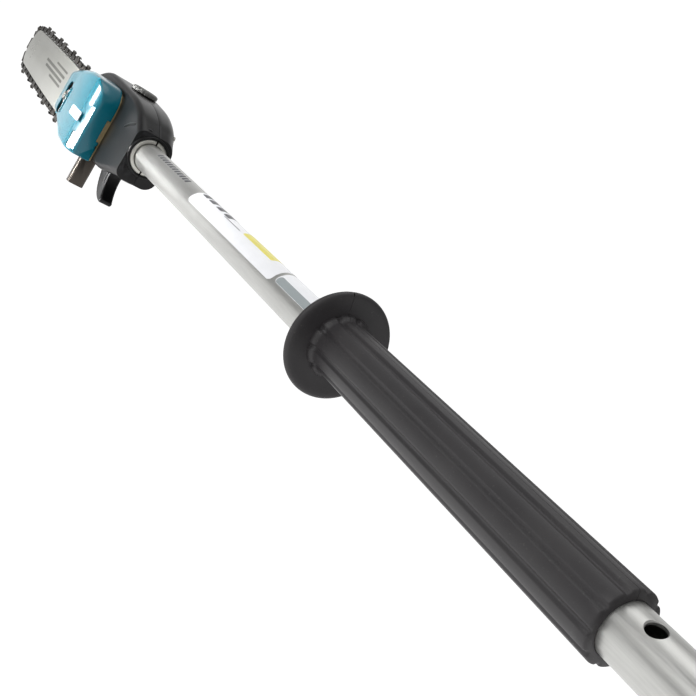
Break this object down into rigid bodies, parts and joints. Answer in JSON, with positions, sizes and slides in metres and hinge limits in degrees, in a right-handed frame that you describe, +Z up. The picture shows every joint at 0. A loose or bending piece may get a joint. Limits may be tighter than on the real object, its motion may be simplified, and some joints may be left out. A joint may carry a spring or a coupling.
{
  "type": "pole saw attachment",
  "caption": "Powered pole saw head and pole: straight aluminium tube with rubber grip and flange, geared head with oil tank, branch hook and stop, guide bar with chain.",
  "frame": {"origin": "on the pole's axis, in the plane of the pole's open drive end, which is also the end of the inner drive shaft", "axes": "+X along the pole towards the saw and out along the guide bar, +Z up out of the oil cap's side, +Y to the side of the sprocket cover"},
  "size_m": [1.2127, 0.0788, 0.1123],
  "materials": {
    "main_pipe_finish": "satin anodised",
    "hand_grip_finish": "ribbed, matt",
    "drive_shaft_finish": "machined",
    "shaft_bush_1_finish": "moulded",
    "shaft_bush_2_finish": "moulded",
    "shaft_bush_3_finish": "moulded",
    "shaft_bush_4_finish": "moulded",
    "gear_case_finish": "cast",
    "gear_case_lid_finish": "cast",
    "pinion_bearing_rear_finish": "machined",
    "pinion_bearing_front_finish": "machined",
    "output_bearing_left_finish": "machined",
    "output_bearing_right_finish": "machined",
    "bevel_pinion_finish": "machined",
    "bevel_gear_finish": "machined",
    "output_shaft_finish": "machined",
    "oil_worm_finish": "machined",
    "drive_sprocket_finish": "machined",
    "sprocket_washer_finish": "zinc plated",
    "retaining_clip_finish": "machined",
    "clamp_bolt_1_finish": "zinc plated",
    "clamp_bolt_2_finish": "zinc plated",
    "locating_screw_finish": "zinc plated",
    "housing_left_finish": "fine satin grain",
    "housing_right_finish": "fine satin grain",
    "housing_screw_1_finish": "zinc plated",
    "housing_screw_2_finish": "zinc plated",
    "housing_screw_3_finish": "zinc plated",
    "housing_screw_4_finish": "zinc plated",
    "oil_tank_finish": "moulded",
    "cap_seal_finish": "smooth",
    "oil_cap_finish": "fine grain",
    "oil_pump_body_finish": "cast",
    "pump_plunger_finish": "machined",
    "oil_hose_finish": "smooth",
    "bar_plate_finish": "yellow passivated",
    "bar_stud_finish": "zinc plated",
    "bar_nut_finish": "zinc plated",
    "tension_pin_finish": "zinc plated",
    "tension_screw_finish": "zinc plated",
    "guide_bar_finish": "ground",
    "nose_sprocket_finish": "machined",
    "nose_rivet_finish": "zinc plated",
    "saw_chain_finish": "stamped, part chromed",
    "sprocket_cover_finish": "glossy",
    "branch_stop_finish": "bare, oiled",
    "stop_screw_1_finish": "zinc plated",
    "stop_screw_2_finish": "zinc plated"
  },
  "bodies": {
    "pole": {"main_pipe": "main_pipe_finish", "hand_grip": "hand_grip_finish", "shaft_bush_1": "shaft_bush_1_finish", "shaft_bush_2": "shaft_bush_2_finish", "shaft_bush_3": "shaft_bush_3_finish", "shaft_bush_4": "shaft_bush_4_finish", "gear_case": "gear_case_finish", "gear_case_lid": "gear_case_lid_finish", "pinion_bearing_rear": "pinion_bearing_rear_finish", "pinion_bearing_front": "pinion_bearing_front_finish", "output_bearing_left": "output_bearing_left_finish", "output_bearing_right": "output_bearing_right_finish", "clamp_bolt_1": "clamp_bolt_1_finish", "clamp_bolt_2": "clamp_bolt_2_finish", "locating_screw": "locating_screw_finish", "housing_left": "housing_left_finish", "housing_right": "housing_right_finish", "housing_screw_1": "housing_screw_1_finish", "housing_screw_2": "housing_screw_2_finish", "housing_screw_3": "housing_screw_3_finish", "housing_screw_4": "housing_screw_4_finish", "oil_tank": "oil_tank_finish", "cap_seal": "cap_seal_finish", "oil_pump_body": "oil_pump_body_finish", "oil_hose": "oil_hose_finish", "bar_plate": "bar_plate_finish", "bar_stud": "bar_stud_finish", "bar_nut": "bar_nut_finish", "sprocket_cover": "sprocket_cover_finish", "branch_stop": "branch_stop_finish", "stop_screw_1": "stop_screw_1_finish", "stop_screw_2": "stop_screw_2_finish"},
    "drive_line": {"drive_shaft": "drive_shaft_finish", "bevel_pinion": "bevel_pinion_finish"},
    "output": {"bevel_gear": "bevel_gear_finish", "output_shaft": "output_shaft_finish", "oil_worm": "oil_worm_finish", "drive_sprocket": "drive_sprocket_finish", "sprocket_washer": "sprocket_washer_finish", "retaining_clip": "retaining_clip_finish"},
    "pump": {"pump_plunger": "pump_plunger_finish"},
    "bar": {"guide_bar": "guide_bar_finish", "nose_rivet": "nose_rivet_finish", "tension_pin": "tension_pin_finish", "saw_chain": "saw_chain_finish"},
    "nose": {"nose_sprocket": "nose_sprocket_finish"},
    "tension": {"tension_screw": "tension_screw_finish"},
    "cap": {"oil_cap": "oil_cap_finish"}
  },
  "joints": [
    {"name": "output_spin", "type": "hinge", "parent": "pole", "child": "output", "pos_m": [0.836, 0, -0.005], "axis": [0, 1, 0], "continuous": true},
    {"name": "drive_spin", "type": "hinge", "parent": "pole", "child": "drive_line", "pos_m": [0.4, 0, 0], "axis": [1, 0, 0], "continuous": true},
    {"name": "pump_spin", "type": "hinge", "parent": "pole", "child": "pump", "pos_m": [0.84, 0.0149, 0.0027], "axis": [1, 0, 0], "continuous": true},
    {"name": "bar_adjust", "type": "slide", "parent": "pole", "child": "bar", "axis": [0.9996, 0, 0.0279], "range_m": [-0.004, 0]},
    {"name": "nose_spin", "type": "hinge", "parent": "bar", "child": "nose", "pos_m": [1.18313, 0, 0.0047], "axis": [0, 1, 0], "continuous": true},
    {"name": "tension_turn", "type": "hinge", "parent": "pole", "child": "tension", "pos_m": [0.88633, 0.0133, -0.0161], "axis": [0.9996, 0, 0.0279], "range_deg": [-1802, 0]},
    {"name": "cap_turn", "type": "hinge", "parent": "pole", "child": "cap", "pos_m": [0.82, -0.001, 0.0415], "axis": [0, 0, 1], "range_deg": [0, 360]}
  ],
  "couplings": [
    {"joint": "drive_spin", "follows": "output_spin", "ratio": 1.5},
    {"joint": "pump_spin", "follows": "output_spin", "ratio": 0.05},
    {"joint": "nose_spin", "follows": "output_spin", "ratio": 0.75},
    {"joint": "tension_turn", "follows": "bar_adjust", "rad_per_m": 7854}
  ]
}
